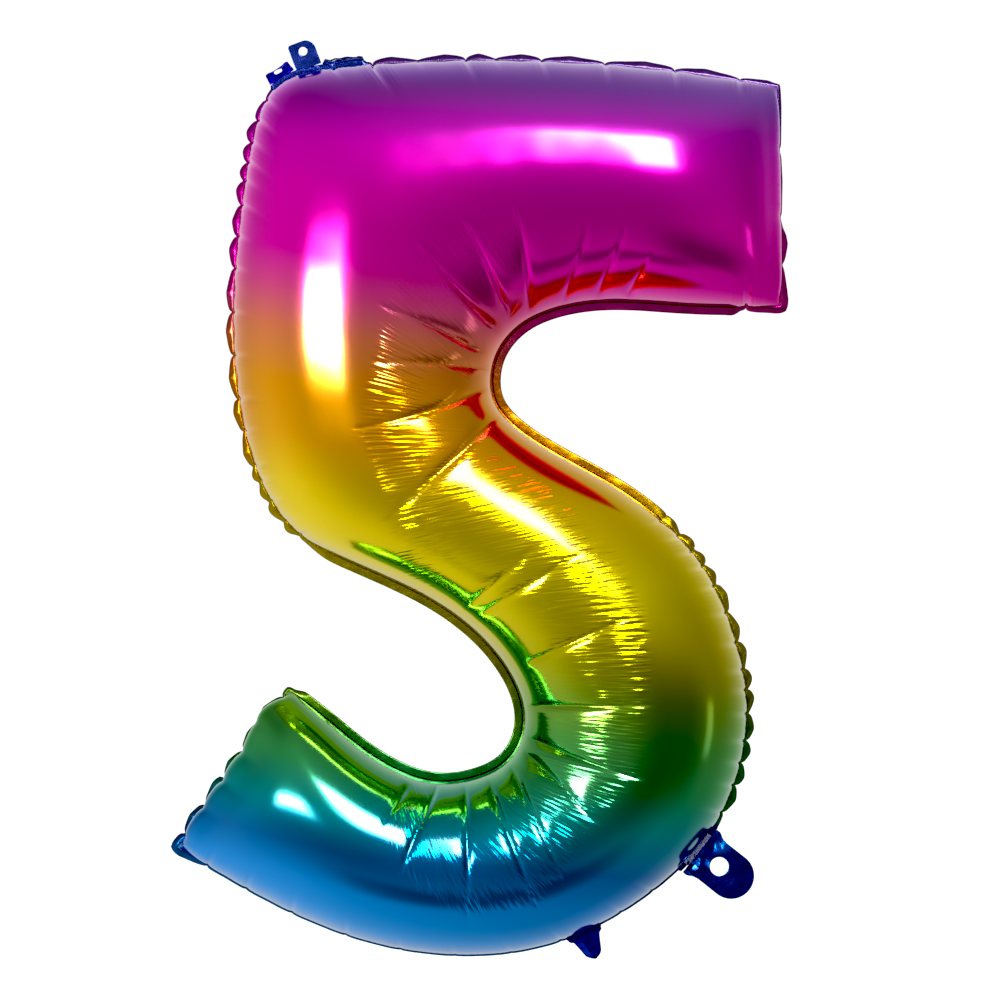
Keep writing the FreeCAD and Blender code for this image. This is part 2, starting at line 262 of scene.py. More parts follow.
class BALLOON_PG_envelope(bpy.types.PropertyGroup):
    """Sizes of the blown panels."""
    __annotations__ = fields(bpy.props.IntProperty, {"min": 32, "max": 1600}, {
        "columns": ("Faces along the stroke", 1500),
        "rows": ("Faces across the stroke", 84),
    }) | fields(FloatProperty, LENGTH, {
        "film": ("Thickness of the foil sheet", 0.0003),
        "fold_depth": ("Depth of the sharp folds in the bends", 0.0026),
        "billow": ("Rise of the film between two folds", 0.0026),
        "fold_width": ("Width of a sharp fold", 0.0021),
        "pinch_depth": ("Depth of the puckers along the seam", 0.0020),
        "comb_pitch": ("Distance between the fine ripples", 0.0036),
        "comb_length": ("Reach of one fine ripple down the film", 0.042),
        "comb_depth": ("Height of the fine ripples", 0.0017),
    })


class BALLOON_PG_film(bpy.types.PropertyGroup):
    """Sizes of the seam band, the tabs and the tail, and the finish of all film."""
    __annotations__ = fields(FloatProperty, LENGTH, {
        "band_width": ("Width of the seam band outside the seal", 0.008),
        "fold_offset": ("Distance from the seal to the fold of a tab", 0.005),
        "ply": ("Thickness of the sealed double film", 0.0003),
        "crumple": ("Height of the crumples in the tabs and the tail", 0.0011),
    }) | fields(FloatProperty, {"min": 0.0, "max": 1.0}, {
        "satin": ("Roughness of the metallised side", 0.14),
        "gloss": ("Weight of the clear film over the print", 0.85),
    })


class BALLOON_PG_studio(bpy.types.PropertyGroup):
    """The stage round the balloon."""
    __annotations__ = fields(FloatProperty, LENGTH, {
        "camera_distance": ("From the seam plane to the camera", 4.0),
        "floor_drop": ("From the origin down to the floor", 1.2),
    }) | fields(FloatProperty, {"min": 0.0}, {
        "left_box": ("Radiance of the left softbox", 24.0),
        "top_box": ("Radiance of the top softbox", 24.0),
    })


GROUPS = {"envelope": BALLOON_PG_envelope, "film": BALLOON_PG_film, "inks": BALLOON_PG_inks,
          "studio": BALLOON_PG_studio}


class BALLOON_PG_settings(bpy.types.PropertyGroup):
    """Everything that the balloon's operators read."""
    __annotations__ = {name: bpy.props.PointerProperty(type=group)
                       for name, group in GROUPS.items()}


# The stroke


def spline_basis(count, places):
    """Weights of a clamped even cubic spline's control points at places from 0 to 1."""
    spans = count - DEGREE
    knots = np.concatenate([np.zeros(DEGREE), np.arange(spans + 1.0), np.full(DEGREE, spans)])
    t = np.clip(np.asarray(places) * spans, 0.0, spans - 1e-9)
    basis = [((low <= t) & (t < high)).astype(float) for low, high in zip(knots, knots[1:])]
    for degree in range(1, DEGREE + 1):
        rise = [(t - low) / (high - low) if high > low else 0 * t
                for low, high in zip(knots, knots[degree:])]
        basis = [rise[i] * basis[i] + (1 - rise[i + 1]) * basis[i + 1]
                 for i in range(len(basis) - 1)]
    return np.stack(basis, axis=1)


def end_run(end, neighbour):
    """Unit vector square to a stroke end, into the stroke."""
    upper, lower = np.array(end[0], float), np.array(end[1], float)
    along = lower - upper
    square = np.array([-along[1], along[0]]) / np.linalg.norm(along)
    inward = np.array(neighbour[0], float) + np.array(neighbour[1], float) - upper - lower
    return square if square @ inward > 0 else -square


def control_rows():
    """Control points of both edges in drawn millimetres, and of the depth in metres."""
    bar, hook = end_run(BAR_END, RIBS[0]) * END_RUN, end_run(HOOK_END, RIBS[-1]) * END_RUN
    rows = [(*BAR_END, 0.0), (*(np.array(BAR_END) + bar), END_SHARE), *RIBS,
            (*(np.array(HOOK_END) + hook), END_SHARE), (*HOOK_END, 0.0)]
    uppers, lowers, depths = zip(*rows)
    return np.array(uppers, float), np.array(lowers, float), np.array(depths) * HALF_DEPTH


def frame_shift():
    """From drawn millimetres to the frame: the shift in metres that lays the stroke on the CAD."""
    upper, lower, _ = control_rows()
    basis = spline_basis(len(upper), np.linspace(0, 1, 20001))
    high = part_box("front_foil_panel")[1]
    return np.array([high.x - (basis @ lower)[:, 0].max() / 1000,
                     high.z - (basis @ upper)[:, 1].max() / 1000])


SHIFT = frame_shift()


def placed(points):
    """Drawn millimetres to metres in the seam plane of the frame."""
    return np.asarray(points, float)[..., :2] / 1000 + SHIFT


VIEW_CENTRE = placed((21.0, 436.7))


def run_along(line):
    """Distance along a line at each of its points."""
    steps = np.linalg.norm(np.diff(line, axis=0), axis=1)
    return np.concatenate([[0.0], np.cumsum(steps)])


def drawn(points):
    """Metres in the seam plane back to drawn millimetres, across and up."""
    return tuple(((points - SHIFT) * 1000).T)


class Stroke:
    """The stroke sampled in even steps along its ridge."""

    def __init__(self, columns):
        upper, lower, depth = control_rows()
        dense = np.linspace(0, 1, 16001)
        basis = spline_basis(len(upper), dense)
        run = run_along(np.column_stack([placed(basis @ (upper + lower) / 2), basis @ depth]))
        self.run = np.linspace(0, run[-1], columns + 1)
        basis = spline_basis(len(upper), np.interp(self.run, run, dense))
        self.upper, self.lower = placed(basis @ upper), placed(basis @ lower)
        self.depth = basis @ depth
        self.centre = (self.upper + self.lower) / 2
        self.half = (self.upper - self.lower) / 2
        self.width = np.linalg.norm(self.half, axis=1)


def smooth(value, low, high):
    share = np.clip((value - low) / (high - low), 0.0, 1.0)
    return share * share * (3 - 2 * share)


def between(value, start, full, fade, end):
    """1 from full to fade, 0 before start and after end."""
    return smooth(value, start, full) * (1 - smooth(value, fade, end))


def waves(x, y, pitch, seed):
    """Gentle uneven hills between -1 and 1, the same on every run."""
    random = np.random.default_rng(seed)
    total = np.zeros(np.broadcast(x, y).shape)
    for _ in range(7):
        angle, phase = random.uniform(0, 2 * math.pi, 2)
        step = 2 * math.pi / (pitch * random.uniform(0.7, 1.6))
        total = total + np.sin((x * math.cos(angle) + y * math.sin(angle)) * step + phase)
    return total / 4.5


def seen_from_front(points):
    """Where points lie on the seam plane when looked at from the studio camera's place."""
    distance = bpy.context.scene.balloon_five.studio.camera_distance
    scale = distance / (distance - np.abs(points[..., 1]))
    return (VIEW_CENTRE[k] + (points[..., 2 * k] - VIEW_CENTRE[k]) * scale for k in (0, 1))


def fold_relief(x, z, side, settings):
    """Height of the film over the plain tube from the folds in the bends."""
    relief = np.zeros_like(x)
    random = np.random.default_rng(11 if side < 0 else 23)
    for tip, root, share in FOLDS:
        start, end = placed(tip), placed(root)
        if side > 0:
            jitter = random.uniform(-0.007, 0.007, 4)
            start, end = start + jitter[:2], end + jitter[2:] * 0.4
            share *= random.uniform(0.75, 1.15)
        along = end - start
        length = np.linalg.norm(along)
        along = along / length
        t = ((x - start[0]) * along[0] + (z - start[1]) * along[1]) / length
        bow = 0.03 * length * np.sin(math.pi * np.clip(t, 0, 1)) * random.uniform(-1, 1)
        off = (x - start[0]) * -along[1] + (z - start[1]) * along[0] + bow
        grow = (0.4 + 0.6 * smooth(t, 0.0, 0.7)) * smooth(t, -0.04, 0.03)
        grow *= 1 - smooth(t, 0.88, 1.04)
        sharp = settings.fold_width * (0.5 + 0.9 * np.clip(t, 0, 1)) * np.where(off > 0, 1.6, 0.8)
        relief -= share * settings.fold_depth * grow * np.exp(-(np.abs(off) / sharp) ** 1.3)
        broad = 0.0075 + 0.0035 * np.clip(1 - t, 0, 1)
        swell = between(t, 0.02, 0.6, 0.80, 1.10)
        relief -= share * settings.billow * swell * np.exp(-np.abs(off) / broad)
    return relief


def pinch_relief(stroke, phi, settings):
    """Puckers that run in from the sealed edges, the same on both sheets."""
    relief = np.zeros((len(stroke.run), len(phi)))
    across, half = np.cos(phi)[None, :], stroke.width[:, None]
    for edge, pinches, away in ((stroke.upper, UPPER_PINCHES, half * (1 - across)),
                                (stroke.lower, LOWER_PINCHES, half * (1 + across))):
        run = run_along(edge)
        for x, z, strength, reach in pinches:
            nearest = np.argmin(np.linalg.norm(edge - placed((x, z)), axis=1))
            off = np.abs(run - run[nearest])[:, None]
            inward = away / (reach / 1000)
            valley = np.exp(-(off / (0.0014 + 0.11 * away)) ** 1.2) * np.exp(-inward ** 1.6)
            hill = np.exp(-((off - 0.010) / 0.007) ** 2) * np.exp(-inward ** 2)
            ripple = np.cos(off * 2 * math.pi / 0.0048) * np.exp(-(off / 0.012) ** 2)
            ripple = ripple * smooth(away, 0.0002, 0.0015) * np.exp(-inward ** 2)
            relief += strength * settings.pinch_depth * (0.22 * hill - valley + 0.14 * ripple)
    for end, pinches, away in ((0, BAR_END_PINCHES, stroke.run),
                               (-1, HOOK_END_PINCHES, stroke.run[-1] - stroke.run)):
        along = stroke.half[end] / np.linalg.norm(stroke.half[end])
        away = away[:, None]
        for x, z, strength, reach in pinches:
            off = np.abs(across * half - (placed((x, z)) - stroke.centre[end]) @ along)
            valley = np.exp(-(off / (0.0022 + 0.12 * away)) ** 1.2)
            valley = valley * np.exp(-(away / (reach / 1000)) ** 2)
            relief -= strength * settings.pinch_depth * valley
    return relief


def end_relief(stroke, phi):
    """Gathered strips at the two stroke ends: the film rises sooner, then lies flatter."""
    sin, cos = np.sin(phi)[None, :], np.cos(phi)[None, :]
    hook = (stroke.run[-1] - stroke.run)[:, None]
    bar = stroke.run[:, None]
    rise = 0.009 * np.exp(-((hook - 0.028) / 0.018) ** 2) * smooth(sin, 0.15, 0.75)
    rise += 0.007 * np.exp(-((hook - 0.045) / 0.045) ** 2) * np.exp(-((cos - 0.62) / 0.22) ** 2)
    return rise + 0.004 * np.exp(-((bar - 0.022) / 0.014) ** 2) * smooth(sin, 0.15, 0.75)


def panel_surface(side, settings):
    """Points of one blown sheet, columns by rows by three, with its folds and puckers."""
    stroke = Stroke(settings.columns)
    phi = np.linspace(0, math.pi, settings.rows + 1)
    cos, sin = np.cos(phi), np.sin(phi)
    x = stroke.centre[:, :1] + stroke.half[:, :1] * cos
    z = stroke.centre[:, 1:] + stroke.half[:, 1:] * cos
    y = side * stroke.depth[:, None] * sin
    points = np.stack([x, y, z], axis=2)
    normals = outward_normals(points, side)
    relief = fold_relief(*seen_from_front(points), side, settings)
    end = np.minimum(stroke.run, stroke.run[-1] - stroke.run)
    body = (sin ** 1.2)[None, :] * smooth(end, 0.0, 0.08)[:, None]
    relief = relief * smooth(sin, 0.0, 0.25)[None, :]
    relief += 0.0005 * body * waves(x, z, 0.16, 5 if side < 0 else 6)
    relief += 0.00006 * body * waves(x, z, 0.035, 7 if side < 0 else 8)
    relief += pinch_relief(stroke, phi, settings) + end_relief(stroke, phi)
    return stroke, phi, points + normals * relief[:, :, None]


def outward_normals(points, side):
    normals = np.cross(np.gradient(points, axis=0), np.gradient(points, axis=1)) * -side
    for rim in (normals[0], normals[-1], normals[:, 0], normals[:, -1]):
        rim[:, 1] = 0.0
    return normals / np.maximum(np.linalg.norm(normals, axis=2, keepdims=True), 1e-12)


# Mesh building


def pick(sheet):
    bpy.ops.object.select_all(action="DESELECT")
    sheet.select_set(True)
    bpy.context.view_layer.objects.active = sheet


def film_grid(name, columns, rows):
    """A fresh grid sheet, with each vertex's column and row number."""
    bpy.ops.object.select_all(action="DESELECT")
    bpy.ops.mesh.primitive_grid_add(x_subdivisions=columns, y_subdivisions=rows, size=2.0)
    sheet = bpy.context.object
    sheet.name = sheet.data.name = name
    flat = np.empty(len(sheet.data.vertices) * 3)
    sheet.data.vertices.foreach_get("co", flat)
    share = (flat.reshape(-1, 3) + 1) / 2
    return (sheet, np.rint(share[:, 0] * columns).astype(int),
            np.rint(share[:, 1] * rows).astype(int))


def lay_out(sheet, points):
    sheet.data.vertices.foreach_set("co", np.ascontiguousarray(points, dtype=np.float64).ravel())
    sheet.data.update()


def mark(sheet, name, values):
    """A number on every vertex that the material reads."""
    layer = sheet.data.attributes.new(name, "FLOAT", "POINT")
    layer.data.foreach_set("value", np.ascontiguousarray(values, dtype=np.float32).ravel())


def give_thickness(sheet, thickness, offset):
    wall = sheet.modifiers.new("wall", "SOLIDIFY")
    wall.thickness = thickness
    wall.offset = offset
    wall.use_even_offset = False
    bpy.context.view_layer.objects.active = sheet
    bpy.ops.object.modifier_apply(modifier=wall.name)


def close_ring(sheet):
    """Joins the first and last column of a sheet where they meet."""
    pick(sheet)
    bpy.ops.object.mode_set(mode="EDIT")
    bpy.ops.mesh.select_all(action="SELECT")
    bpy.ops.mesh.remove_doubles(threshold=WELD)
    bpy.ops.object.mode_set(mode="OBJECT")


def finish_film(sheet, material):
    pick(sheet)
    bpy.ops.object.shade_smooth()
    sheet.data.materials.clear()
    sheet.data.materials.append(material)


# Materials


class Nodes:
    """Short ways to add and join the shader nodes of a material or a world."""

    def __init__(self, owner):
        owner.use_nodes = True
        self.owner = owner
        self.tree = owner.node_tree
        self.tree.nodes.clear()

    def add(self, kind, sockets=None, **values):
        """A node with its settings; each named socket gets a number, a colour or a join."""
        node = self.tree.nodes.new("ShaderNode" + kind)
        for key, value in values.items():
            setattr(node, key, value)
        for name, value in (sockets or {}).items():
            if isinstance(value, bpy.types.NodeSocket):
                self.tree.links.new(value, node.inputs[name])
            else:
                node.inputs[name].default_value = value
        return node

    def finish(self, shader, kind="OutputMaterial"):
        self.add(kind, {"Surface": shader.outputs[0]})
        return self.owner

    def math(self, operation, first, second=0.5):
        return self.add("Math", {0: first, 1: second}, operation=operation).outputs[0]

    def noise(self, vector, scale, detail=2.0, roughness=0.5):
        return self.add("TexNoise", {"Vector": vector, "Scale": scale, "Detail": detail,
                                     "Roughness": roughness}).outputs["Fac"]

    def ranged(self, value, *limits, **values):
        names = ("Value", "From Min", "From Max", "To Min", "To Max")
        node = self.add("MapRange", dict(zip(names, (value, *limits))), **values)
        return node.outputs["Result"]

    def bump(self, height, distance, strength=1.0, **under):
        return self.add("Bump", {"Height": height, "Distance": distance, "Strength": strength,
                                 **under}).outputs["Normal"]

    def axes(self, vector):
        return self.add("SeparateXYZ", {"Vector": vector}).outputs

    def attribute(self, name):
        return self.add("Attribute", attribute_name=name).outputs["Fac"]

    def place(self, kind="Object"):
        return self.add("TexCoord").outputs[kind]


def rainbow(nodes, settings, spot, darken=1.0, lift=0.0):
    """The printed gradient, by height on the digit, uneven, tilted and lower at the left."""
    axes = nodes.axes(spot)
    tilted = nodes.math("ADD", axes["Z"], nodes.math("MULTIPLY", axes["X"], INK_TILT))
    sag = nodes.ranged(axes["X"], SHIFT[0] - 0.26, SHIFT[0] - 0.12, -0.026, 0.0)
    drift = nodes.ranged(nodes.noise(spot, 3.0, 1.0), 0, 1, lift - 0.012, lift + 0.012)
    height = nodes.math("ADD", nodes.math("ADD", tilted, sag), drift)
    foot = SHIFT[1] + INK_TILT * SHIFT[0]
    levels = [row[0] for row in INKS.values()]
    share = nodes.ranged(height, foot + levels[0], foot + levels[-1], 0.0, 1.0)
    ramp = nodes.add("ValToRGB", {"Fac": share})
    stops = ramp.color_ramp.elements
    stops[0].position, stops[1].position = 0.0, 1.0
    for level in levels[1:-1]:
        stops.new((level - levels[0]) / (levels[-1] - levels[0]))
    for stop, name in zip(stops, INKS):
        # A darken below 1 is painted shade, as on the seam band.
        stop.color = (*[channel * darken for channel in getattr(settings.inks, name)], 1.0)
    return ramp.outputs["Color"]


def foil_surface(nodes, settings, colour, place, normal, satin, **more):
    """Metallised film under a clear glossy ply."""
    cloud = nodes.noise(place, 14.0, 3.0)
    sockets = {"Metallic": 1.0, "Coat Weight": settings.film.gloss, "Coat Roughness": 0.12,
               "Coat IOR": 1.6, "Base Color": colour, "Normal": normal,
               "Roughness": nodes.ranged(cloud, 0.3, 0.7, satin * 0.9, satin * 1.12)}
    return nodes.finish(nodes.add("BsdfPrincipled", {**sockets, **more}))


def blown_foil(settings):
    """Satin mirror film of the panels, with the comb of fine ripples in the bends."""
    nodes = Nodes(bpy.data.materials.new("rainbow_foil"))
    spot = nodes.place()
    size = settings.envelope
    run = nodes.math("MULTIPLY", nodes.attribute("comb_run"), 1 / size.comb_pitch)
    across = nodes.math("MULTIPLY", nodes.attribute("comb_across"), 1 / size.comb_length)
    streak = nodes.add("CombineXYZ", {"X": run, "Y": across}).outputs["Vector"]
    comb = nodes.math("SUBTRACT", nodes.noise(streak, 1.0, 1.0), 0.5)
    patchy = nodes.ranged(nodes.noise(spot, 30.0), 0.32, 0.56, 0.3, 1.0)
    comb = nodes.math("MULTIPLY", nodes.math("MULTIPLY", comb, nodes.attribute("comb_mask")),
                      patchy)
    grain = nodes.bump(nodes.noise(spot, 900.0), 0.00002, 0.5)
    normal = nodes.bump(comb, size.comb_depth, Normal=grain)
    return foil_surface(nodes, settings, rainbow(nodes, settings, spot), spot, normal,
                        settings.film.satin)


def crinkled_foil(settings, name, colour, crinkle, satin):
    """Sealed double film, crinkled; where the colour is None, the rainbow print with the seam
    band's painted shade.
    """
    nodes = Nodes(bpy.data.materials.new(name))
    spot = nodes.place()
    if colour is None:
        # The seam band's painted shade: the print is darkened, and by the tabs their blue is at
        # half brightness.
        dark_blue = (*[channel * 0.5 for channel in settings.inks.tab_blue], 1.0)
        ink_colour = nodes.add("Mix", {
            "Factor": nodes.attribute("tab_share"),
            "A": rainbow(nodes, settings, spot, BAND_PAINTED_SHADE, 0.012),
            "B": dark_blue}, data_type="RGBA").outputs["Result"]
    else:
        shade = nodes.add("ValToRGB", {"Fac": nodes.noise(spot, 120.0)})
        for stop, place, gain in zip(shade.color_ramp.elements, (0.3, 0.7), (0.7, 1.2)):
            stop.position = place
            stop.color = (*[min(channel * gain, 1.0) for channel in colour], 1.0)
        ink_colour = shade.outputs["Color"]
    fine = nodes.bump(nodes.noise(spot, 600.0), 0.00006, 0.6)
    normal = nodes.bump(nodes.noise(spot, 170.0, 3.0, 0.55), crinkle, Normal=fine)
    return foil_surface(nodes, settings, ink_colour, spot, normal, satin,
                        **{"Coat Weight": 0.3 * settings.film.gloss,
                           "Specular Tint": ink_colour})


def clear_film():
    """Unprinted valve film: clear, thin and a little milky."""
    nodes = Nodes(bpy.data.materials.new("clear_valve_film"))
    spot = nodes.place()
    return nodes.finish(nodes.add("BsdfPrincipled", {
        "Base Color": (0.82, 0.86, 0.90, 1.0), "Transmission Weight": 0.85, "IOR": 1.5,
        "Roughness": nodes.ranged(nodes.noise(spot, 60.0, 3.0), 0.3, 0.7, 0.12, 0.32),
        "Normal": nodes.bump(nodes.noise(spot, 220.0), 0.0003)}))


# Pieces


def settings_of(context):
    return context.scene.balloon_five


class BALLOON_OT_foil_panels(bpy.types.Operator):
    """Build the front and back blown foil panels"""
    bl_idname = "balloon.foil_panels"
    bl_label = "Foil panels"

    def execute(self, context):
        settings = settings_of(context)
        material = blown_foil(settings)
        for side, hand in ((-1, "front"), (1, "back")):
            self.build(settings, material, side, hand)
        return {"FINISHED"}

    def build(self, settings, material, side, hand):
        size = settings.envelope
        stroke, phi, points = panel_surface(side, size)
        sheet, column, row = film_grid(hand + "_blown_foil", size.columns, size.rows)
        if side > 0:
            row = size.rows - row
        lay_out(sheet, points[column, row])
        for name, values in self.comb_marks(stroke, phi, points).items():
            mark(sheet, name, values[column, row])
        give_thickness(sheet, size.film, -1.0)
        finish_film(sheet, material)
        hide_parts(hand + "_foil_panel")
        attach(sheet, "envelope")

    def comb_marks(self, stroke, phi, points):
        """Fine ripples: their place along and down the stroke, and how strong they are."""
        across = stroke.width[:, None] * (1 - np.cos(phi)[None, :])
        along = np.repeat(stroke.run[:, None], len(phi), axis=1)
        x, z = seen_from_front(points)
        strength = np.zeros_like(across)
        full = 2 * math.pi
        for centre, ring in COMB_RINGS:
            centre, ring = placed(centre), placed(ring) - placed(centre)
            bearing = np.arctan2(ring[:, 1], ring[:, 0])
            order = np.argsort(bearing)
            turn = np.arctan2(z - centre[1], x - centre[0])
            edge = np.interp(turn, bearing[order], np.linalg.norm(ring, axis=1)[order],
                             period=full)
            inside = edge - np.hypot(x - centre[0], z - centre[1])
            spread = (bearing[-1] - bearing[0] + 2 * full) % full
            swept = (turn - bearing[0] + 2 * full) % full
            streak = smooth(inside, -0.003, 0.010) * (1 - 0.6 * smooth(inside, 0.020, 0.075))
            streak *= 1 - smooth(inside, 0.075, 0.125)
            streak *= between(swept, 0.0, 0.12, spread - 0.12, spread)
            strength = np.maximum(strength, streak)
        strength *= 1 - 0.7 * smooth(z, SHIFT[1] + 0.56, SHIFT[1] + 0.62)
        for end in (stroke.run[:, None], (stroke.run[-1] - stroke.run)[:, None]):
            near = end < 0.035
            along, across = np.where(near, across, along), np.where(near, end, across)
            strength = np.where(near, 0.9 * between(end, 0.004, 0.009, 0.020, 0.030), strength)
        return {"comb_run": along, "comb_across": across, "comb_mask": strength}


def seam_loop(settings):
    """The sealed edge as a closed line in the seam plane, evenly spaced, with its outward side."""
    _, _, points = panel_surface(-1, settings.envelope)
    flat = points[:, :, [0, 2]]
    line = np.concatenate([flat[:, 0], flat[-1, 1:], flat[-2::-1, -1], flat[0, -2:0:-1]])
    closed = np.vstack([line, line[:1]])
    run = run_along(closed)
    even = np.linspace(0, run[-1], int(run[-1] / BAND_STEP), endpoint=False)
    loop = np.column_stack([np.interp(even, run, closed[:, k]) for k in (0, 1)])
    tangent = np.roll(loop, -2, axis=0) - np.roll(loop, 2, axis=0)
    outward = ring_blur(np.column_stack([-tangent[:, 1], tangent[:, 0]]), 3)
    outward /= np.linalg.norm(outward, axis=1, keepdims=True)
    area = np.sum(loop[:, 0] * np.roll(loop[:, 1], -1) - loop[:, 1] * np.roll(loop[:, 0], -1))
    return even, run[-1], loop, -outward if area > 0 else outward


def ring_blur(values, reach):
    total = np.zeros_like(values)
    for step in range(-reach, reach + 1):
        total += np.roll(values, step, axis=0) * math.exp(-(step / max(reach, 1)) ** 2 * 2)
    return total


def tab_frames():
    """Fold line of every tab and the tail: point, direction along the fold, outward direction."""
    frames = {}
    for joint in frame["joints"]:
        axis = np.array(joint["axis"], float)
        axis /= np.linalg.norm(axis)
        outward = np.array([-axis[2], 0.0, axis[0]])
        frames[joint["child"]] = (np.array(joint["pos_m"], float), axis, outward)
    return frames


class BALLOON_OT_seam_band(bpy.types.Operator):
    """Build the sealed band round the digit, curled back between its pinches"""
    bl_idname = "balloon.seam_band"
    bl_label = "Seam band"

    def execute(self, context):
        settings = settings_of(context)
        even, total, loop, outward = seam_loop(settings)
        flat = self.flat_share(loop)
        hills = waves(loop[:, 0], loop[:, 1], 0.03, 31)
        reach = np.clip(self.reach_out(even, total, loop), 0.05, 1.0)
        curl = np.arccos(reach) * (1 - flat) + flat * (0.10 + 0.10 * hills)
        wide = np.full(len(loop), settings.film.band_width)
        tab_share = np.zeros(len(loop))
        for name, (point, axis, out) in tab_frames().items():
            x = np.abs((loop - point[[0, 2]]) @ axis[[0, 2]])
            z = np.abs((loop - point[[0, 2]]) @ out[[0, 2]])
            half_root = ROOT_WIDTHS[name] / 2
            root = (x < half_root + 0.0006) & (z < 0.012)
            wide[root] = settings.film.fold_offset - 0.0003
            curl[root] = 0.0
            near = smooth(-x, -half_root - 0.006, -half_root) * (z < 0.02)
            tab_share = np.maximum(tab_share, near)
        share = np.linspace(0, 1, BAND_ROWS + 1)
        angle = curl[:, None] * smooth(share, -0.1, 0.7)[None, :]
        step = wide[:, None] / BAND_ROWS
        out, back = (np.pad(np.cumsum(step * turn[:, 1:], axis=1), ((0, 0), (1, 0)))
                     for turn in (np.cos(angle), np.sin(angle)))
        crinkle = waves(loop[:, :1] + share * 0.004, loop[:, 1:] + share * 0.003, 0.007, 33)
        crinkle *= 0.00035 * (1 - 0.8 * flat[:, None]) * share
        points = np.stack([loop[:, :1] + outward[:, :1] * out, back + crinkle,
                           loop[:, 1:] + outward[:, 1:] * out], axis=2)
        sheet, column, row = film_grid("seam_band_film", len(loop), BAND_ROWS)
        lay_out(sheet, points[column % len(loop), row])
        mark(sheet, "tab_share", tab_share[column % len(loop)])
        close_ring(sheet)
        give_thickness(sheet, settings.film.ply, 0.0)
        finish_film(sheet, crinkled_foil(settings, "crinkled_band_foil", None, 0.00025, 0.26))
        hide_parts("front_seam_band", "back_seam_band")
        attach(sheet, "envelope")
        return {"FINISHED"}

    def reach_out(self, even, total, loop):
        """Share of the band's width that shows outside the seam, little at a pinch."""
        pinches = UPPER_PINCHES + LOWER_PINCHES + BAR_END_PINCHES + HOOK_END_PINCHES
        places = sorted(even[np.argmin(np.linalg.norm(loop - placed(pinch[:2]), axis=1))]
                        for pinch in pinches)
        reach = np.zeros(len(even))
        for i, place in enumerate(places):
            span = (places[(i + 1) % len(places)] - place) % total
            share = ((even - place) % total) / span
            lobe = share < 1
            peak = min(0.97, 0.45 + span / 0.045)
            skew = share[lobe] ** (0.85 if i % 2 else 1.15)
            reach[lobe] = 0.10 + (peak - 0.10) * (1 - np.abs(2 * skew - 1)) ** 0.8
        x, z = drawn(loop)
        bottom = (1 - smooth(z, 100, 125)) * between(x, -270, -245, 205, 235)
        bar_end = smooth(x, 275, 284) * smooth(z, 690, 700)
        top = smooth(z, 800, 825) * smooth(x, -130, -100)
        corner = smooth(z, 795, 815) * (1 - smooth(x, -115, -95))
        calm = 0.97 * bottom + 0.75 * bar_end + 0.15 * top * (1 - bar_end) + 0.75 * corner
        reach *= 1 - np.clip(calm, 0, 0.97)
        return ring_blur(reach, 2) / ring_blur(np.ones(len(even)), 2)

    def flat_share(self, loop):
        """The band lies flat inside the two notches of the digit."""
        x, z = drawn(loop)
        upper = between(x, -40, -10, 170, 215) * between(z, 400, 425, 640, 660)
        under_bar = between(x, 100, 120, 240, 252) * between(z, 600, 610, 640, 660)
        lower = between(x, -178, -165, 80, 95) * between(z, 120, 135, 380, 400)
        return np.maximum(np.maximum(upper, under_bar), lower)


def rounded_outline(corners, radii, steps=9):
    """Closed outline through rounded corners, as points."""
    corners = np.array(corners, float)
    points = []
    for before, corner, after, radius in zip(np.roll(corners, 1, axis=0), corners,
                                             np.roll(corners, -1, axis=0), radii):
        if radius <= 0:
            points.append(corner)
            continue
        back, on = ((p - corner) / np.linalg.norm(p - corner) for p in (before, after))
        half = math.acos(np.clip(back @ on, -1, 1)) / 2
        reach = radius / math.tan(half)
        centre = corner + (back + on) / np.linalg.norm(back + on) * radius / math.sin(half)
        start, end = corner + back * reach - centre, corner + on * reach - centre
        first = math.atan2(start[1], start[0])
        turn = (math.atan2(end[1], end[0]) - first + math.pi) % (2 * math.pi) - math.pi
        for angle in first + turn * np.arange(steps + 1) / steps:
            points.append(centre + radius * np.array([math.cos(angle), math.sin(angle)]))
    return np.array(points)


def rays_to(outline, centre, angles):
    """Distance from the centre to the outline in each direction."""
    closed = np.vstack([outline, outline[:1]])
    dense = []
    for start, end in zip(closed[:-1], closed[1:]):
        steps = max(int(np.linalg.norm(end - start) / RAY_STEP), 1)
        dense += [start + (end - start) * k / steps for k in range(steps)]
    offset = np.array(dense) - centre
    bearing = np.arctan2(offset[:, 1], offset[:, 0])
    order = np.argsort(bearing)
    return np.interp(angles, bearing[order], np.linalg.norm(offset, axis=1)[order],
                     period=2 * math.pi)


def creased(x, z, pitch, seed):
    """Sharp-edged crumples between about -1 and 1."""
    random = np.random.default_rng(seed)
    total = np.zeros_like(x)
    for _ in range(6):
        angle, phase = random.uniform(0, 2 * math.pi, 2)
        step = 1.0 / (pitch * random.uniform(0.7, 1.8))
        turn = (x * math.cos(angle) + z * math.sin(angle)) * step + phase
        turn = turn + 0.35 * np.sin(turn * 0.7 + z * step * 0.6)
        total += 2 * np.abs(2 * (turn - np.floor(turn + 0.5))) - 1
    return total / 3.2


def holed_film(name, outline, centre, radius, columns, rows):
    """A sheet between a round hole and an outline, as local points along and out of the fold."""
    sheet, column, row = film_grid(name, columns, rows)
    angles = -2 * math.pi * np.arange(columns) / columns
    outer = rays_to(outline, np.array(centre), angles)
    column = column % columns
    distance = radius + (outer[column] - radius) * (row / rows) ** 0.9
    x = centre[0] + distance * np.cos(angles[column])
    z = centre[1] + distance * np.sin(angles[column])
    return sheet, x, z


